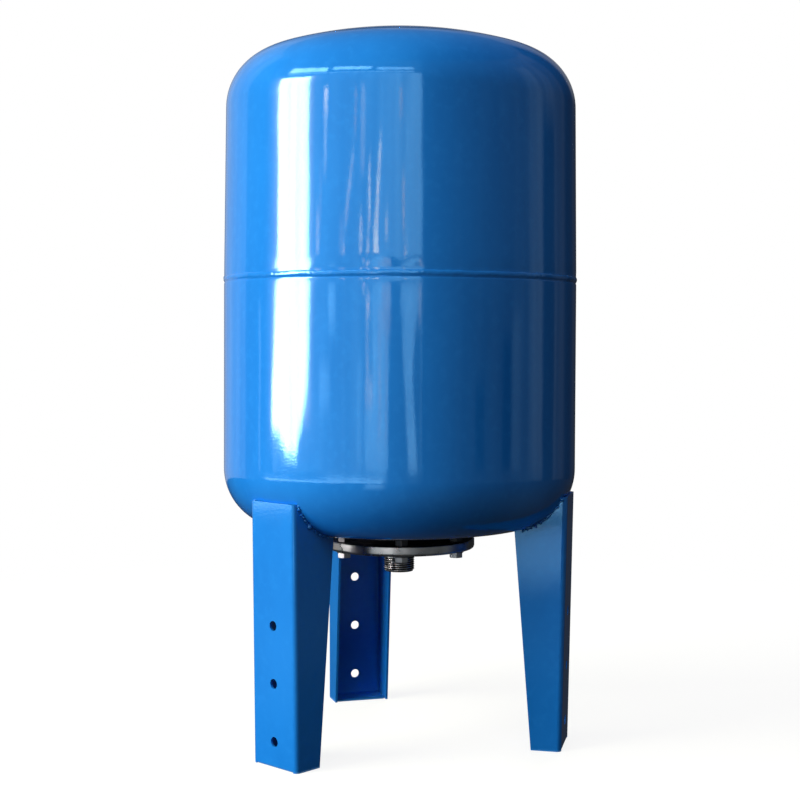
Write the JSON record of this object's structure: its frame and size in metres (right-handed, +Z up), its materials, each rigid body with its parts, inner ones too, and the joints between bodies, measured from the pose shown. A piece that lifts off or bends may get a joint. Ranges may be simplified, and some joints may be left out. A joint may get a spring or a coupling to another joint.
{
  "type": "well pressure tank",
  "caption": "Upright steel pressure tank for a well pump, enamelled blue, on welded channel legs, with a bolted flange and threaded water connection underneath.",
  "frame": {"origin": "on the floor under the tank's axis, in the plane of the feet", "axes": "+Z up along the tank's axis, -Y towards the front leg, +X to the right when looking at the front leg"},
  "size_m": [0.3822, 0.3822, 0.7789],
  "materials": {
    "blue_enamel": "gloss",
    "zinc": "satin",
    "bright_steel": "gloss",
    "black_rubber": "matte",
    "valve_brass": "satin",
    "cap_plastic": "matte"
  },
  "bodies": {
    "tank": {"upper_shell": "blue_enamel", "lower_shell": "blue_enamel", "girth_weld": "blue_enamel", "neck_ring": "blue_enamel", "neck_weld": "blue_enamel", "bladder": "black_rubber", "bottom_flange": "zinc", "water_connector": "bright_steel", "connector_weld": "zinc", "flange_bolts": "zinc", "flange_washers": "zinc", "flange_nuts": "zinc", "leg_front": "blue_enamel", "leg_right": "blue_enamel", "leg_left": "blue_enamel", "leg_welds": "blue_enamel", "valve_boss": "blue_enamel", "boss_weld": "blue_enamel", "valve_gasket": "black_rubber", "valve_stem": "valve_brass", "core_body": "valve_brass", "core_seal": "black_rubber", "core_spring": "bright_steel"},
    "pin": {"valve_pin": "bright_steel", "pin_seal": "black_rubber"},
    "cap": {"valve_cap": "cap_plastic", "cap_seal": "black_rubber"}
  },
  "joints": [
    {"name": "valve_pin_press", "type": "slide", "parent": "tank", "child": "pin", "axis": [-0.1471, 0.0849, 0.9855], "range_m": [-0.0012, 0], "stiffness_N_per_m": 500, "springref_m": 0.002, "deforming": ["core_spring"]},
    {"name": "valve_cap_lift", "type": "slide", "parent": "tank", "child": "cap", "axis": [-0.1471, 0.0849, 0.9855], "range_m": [0, 0.024]}
  ]
}
